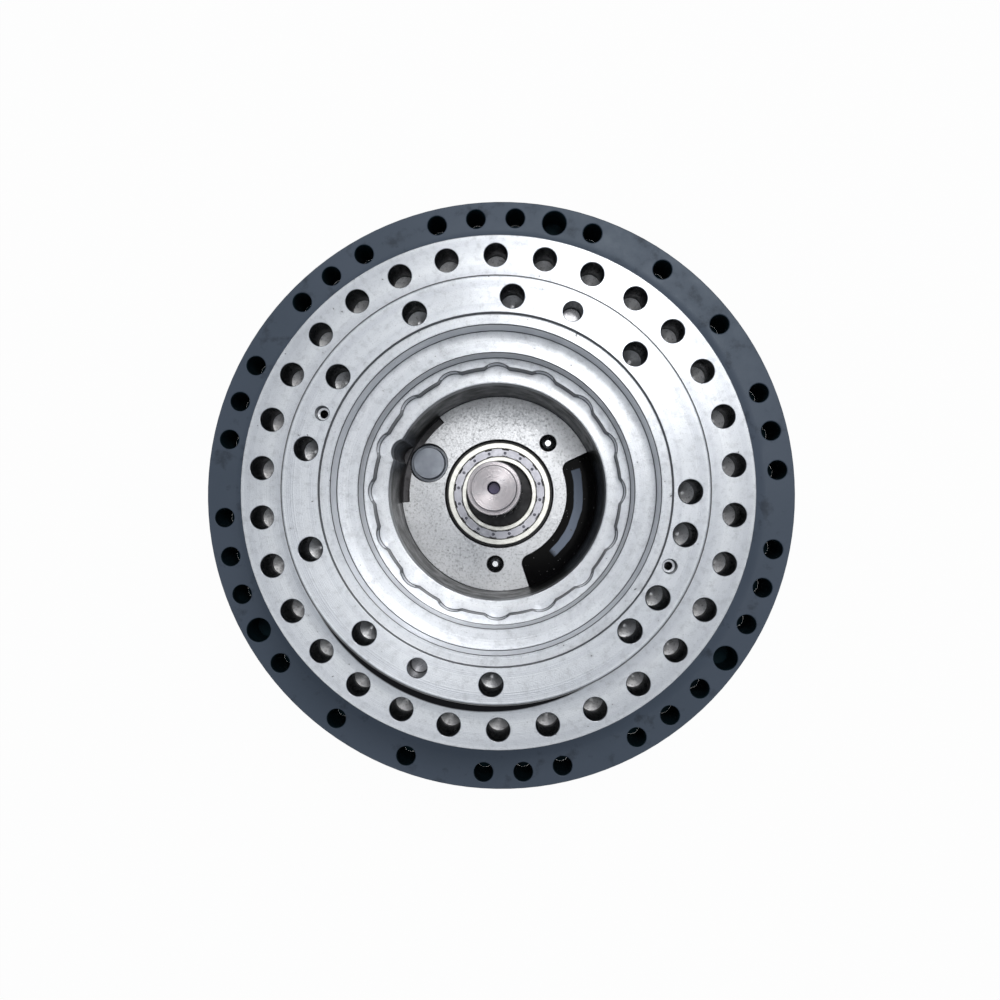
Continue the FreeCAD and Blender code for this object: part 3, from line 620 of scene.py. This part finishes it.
def sprocket_hole_shade_caps():
    """Caps of painted shade that close the far ends of the sprocket holes: near-black teal discs domed by a
    tenth of their radius.
    """
    cap_radius = 10.2
    share = np.linspace(1.0, 0.0, 5)
    flange_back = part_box("hub")[0].z / MM + sprocket_pilot_length
    profile = np.stack([cap_radius * share, flange_back + 1.5 + cap_radius * 0.1 * (1.0 - share ** 2)], -1)
    points, faces = lathe(profile, 24)
    turns = sprocket_phase + np.array(sprocket_holes) * 360.0 / sprocket_pitch_count
    points, faces = patterned(points, faces, polar(sprocket_hole_circle, turns, 0.0))
    return piece("sprocket_hole_shade_caps", points, faces, cap_painted_shade, "hub")


def pivot_balls():
    """Ball ends of the swash pivots: half a sphere of latitude rings."""
    latitude = np.radians(np.linspace(0.0, 90.0, 10))
    profile = np.stack([4.6 * np.cos(latitude), chamber_floor - 7.0 + 4.6 * np.sin(latitude)], -1)
    points, faces = lathe(profile, 32)
    centres = np.array([polar(radius, angle, 0.0) for radius, angle in pivot_places])
    points, faces = patterned(points, faces, centres)
    return piece("pivot_balls", points, faces, pivot_metal, "spindle")


# ---- zones of the spindle, hub and shaft, as tests on what face_table gives ----

spindle_zones = (
    (step_metal, lambda r, z, up, out, turn: (abs(up) < 0.5) & (out < 0) & (z > -8.5) & (r < 156)),
    (chamber_bore_and_painted_shade, lambda r, z, up, out, turn: (abs(up) < 0.5) & (z < -7) & (z > -103.2) & (r > 95)
                                               & (r < 112)),
    (floor_casting, lambda r, z, up, out, turn: (up > 0.9) & (abs(z - chamber_floor) < 0.5) & (r < 112)),
    (pocket_painted_shade, lambda r, z, up, out, turn: (z < -103.2) & (z > -150) & (r > 54) & (r < 112)),
    (recess_casting, lambda r, z, up, out, turn: (z < -103.2) & (z > -111.5) & (r > 92) & (r < 112)),
    (recess_casting, lambda r, z, up, out, turn: (up > 0.9) & (abs(z - chamber_floor) < 0.5) & (r > 98)
                                                 & (turn > 149) & (turn < 165)),
    (edge_metal, lambda r, z, up, out, turn: (abs(up) < 0.5) & (abs(z) < 8.2) & (r > 103.5) & (r < 119)),
    (edge_metal, lambda r, z, up, out, turn: (up > 0.4) & (up < 0.9) & (r > 186) & (r < 189) & (z > 60)),
    (hole_metal, lambda r, z, up, out, turn: (abs(up) < 0.5) & (z > -47) & (r > 155) & (abs(r - 188) > 1)
                                             & (abs(r - 245) > 1)),
    (hole_floor, lambda r, z, up, out, turn: (up > 0.9) & (r > 189) & (z > -47) & (z < -0.5)),
    (tapped_floor_painted_shade, lambda r, z, up, out, turn: (up > 0.4) & (r > 157) & (r < 186) & (z > -47) & (z < 60)),
)
hub_zones = (
    (hub_hole_painted_shade, lambda r, z, up, out, turn: (abs(up) < 0.5) & (r > 285) & (r < 318) & (z < -116)),
    (hub_hole_painted_shade, lambda r, z, up, out, turn: (up > 0.9) & (r > 285) & (z < -130) & (z > -171)),
)
shaft_zones = (
    (shaft_lower_dark, lambda r, z, up, out, turn: z < 60),
    (centre_violet, lambda r, z, up, out, turn: (r < 5.3) & (z < 113.5) & (z > 90)),
)


def build_pieces():
    finish_every_node()
    dressed("spindle", 0.7, spindle_metal, spindle_zones)
    dressed("hub", 1.2, body_paint, hub_zones)
    dressed("ring_gear", 1.0, body_paint)
    dressed("cover", 1.5, body_paint)
    dressed("cover_bolts", 0.7, bolt_metal)
    dressed("motor_shaft", 0.6, shaft_metal, shaft_zones)
    dressed("shaft_bearing_outer_ring", 0.8, race_metal)
    dressed("shaft_bearing_inner_ring", 0.8, race_metal)
    dressed("speed_piston", 0.6, piston_metal)
    frame_holes = circle_centres(30, frame_hole_circle, frame_hole_phase, 0.0)
    boss_holes = np.array([polar(boss_hole_circle, angle, 0.0) for angle in boss_hole_angles])
    thread_pitch = 2.5
    drill_points("frame_hole_drill_points", frame_holes, frame_hole_radius, -frame_hole_depth + 0.1,
                 hole_floor)
    drill_points("boss_hole_drill_points", boss_holes, boss_hole_radius, boss_top - boss_hole_depth + 0.1,
                 floor_casting)
    threads("frame_hole_threads", frame_holes, frame_hole_radius, 0.0, 32.0, thread_pitch)
    threads("boss_hole_threads", boss_holes, boss_hole_radius, boss_top, 28.0, thread_pitch)
    roller_cage()
    cage_rivets()
    window_oil()
    pivot_balls()
    sprocket_hole_shade_caps()


# ---- floor, light and camera ----

def aim(thing, place, target, up=(0.0, 1.0, 0.0)):
    """Put a camera or lamp at a place, looking at a target, with the given direction upright."""
    back = (Vector(place) - Vector(target)).normalized()
    side = Vector(up).cross(back).normalized()
    turn = Matrix((side, back.cross(side), back)).transposed()
    thing.matrix_world = Matrix.Translation(Vector(place)) @ turn.to_4x4()


def floor():
    """Pale floor under the cover: white to the eye and in metal, and it still takes the drive's shadow."""
    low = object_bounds()[0].z - 0.0005
    size = 40.0
    mesh = bpy.data.meshes.new("floor")
    mesh.from_pydata([(-size, -size, low), (size, -size, low), (size, size, low), (-size, size, low)], [],
                     [(0, 1, 2, 3)])
    material = bpy.data.materials.new("floor")
    material.use_nodes = True
    tree = material.node_tree
    shader = tree.nodes["Principled BSDF"]
    shader.inputs["Base Color"].default_value = (0.9, 0.9, 0.9, 1.0)
    shader.inputs["Roughness"].default_value = 0.8
    white = tree.nodes.new("ShaderNodeEmission")
    path = tree.nodes.new("ShaderNodeLightPath")
    seen = path.outputs["Is Camera Ray"]
    for kind in ("Is Glossy Ray", "Is Transmission Ray"):
        either = tree.nodes.new("ShaderNodeMath")
        either.operation = "MAXIMUM"
        tree.links.new(seen, either.inputs[0])
        tree.links.new(path.outputs[kind], either.inputs[1])
        seen = either.outputs[0]
    share = tree.nodes.new("ShaderNodeMath")
    share.operation = "MULTIPLY"
    share.inputs[1].default_value = 0.97
    blend = tree.nodes.new("ShaderNodeMixShader")
    tree.links.new(seen, share.inputs[0])
    tree.links.new(share.outputs[0], blend.inputs[0])
    tree.links.new(shader.outputs[0], blend.inputs[1])
    tree.links.new(white.outputs[0], blend.inputs[2])
    tree.links.new(blend.outputs[0], tree.nodes["Material Output"].inputs["Surface"])
    mesh.materials.append(material)
    ground = bpy.data.objects.new("floor", mesh)
    bpy.context.scene.collection.objects.link(ground)
    ground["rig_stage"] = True


def lamp(name, azimuth, lean, distance, size, power, colour=(1.0, 1.0, 1.0)):
    """Round soft lamp that leans from straight overhead towards an azimuth, in degrees."""
    data = bpy.data.lights.new(name, "AREA")
    data.shape = "DISK"
    data.size = size
    data.energy = power
    data.color = colour
    made = bpy.data.objects.new(name, data)
    bpy.context.scene.collection.objects.link(made)
    out, turn = math.radians(lean), math.radians(azimuth)
    place = (distance * math.sin(out) * math.cos(turn), distance * math.sin(out) * math.sin(turn),
             distance * math.cos(out))
    aim(made, place, (0.0, 0.0, 0.0))


def light_and_camera():
    scene = bpy.context.scene
    scene.view_settings.view_transform = "Standard"
    world = bpy.data.worlds.new("studio")
    scene.world = world
    world.use_nodes = True
    world.node_tree.nodes["Background"].inputs["Color"].default_value = (0.86, 0.93, 1.0, 1.0)
    world.node_tree.nodes["Background"].inputs["Strength"].default_value = 0.36
    lamp("key", 62.0, 21.0, 2.3, 0.6, 13.0, (1.0, 0.99, 0.97))
    lamp("overhead", 80.0, 4.0, 2.4, 0.8, 5.0)
    data = bpy.data.cameras.new("camera")
    data.sensor_width = 36.0
    data.lens = 30.33
    data.clip_start = 0.05
    camera = bpy.data.objects.new("camera", data)
    scene.collection.objects.link(camera)
    place = Vector((0.0185, -0.0194, 0.7997))
    aim(camera, place, place + Vector((-0.0195, 0.0140, -1.0)))
    scene.camera = camera


build_pieces()
floor()
light_and_camera()
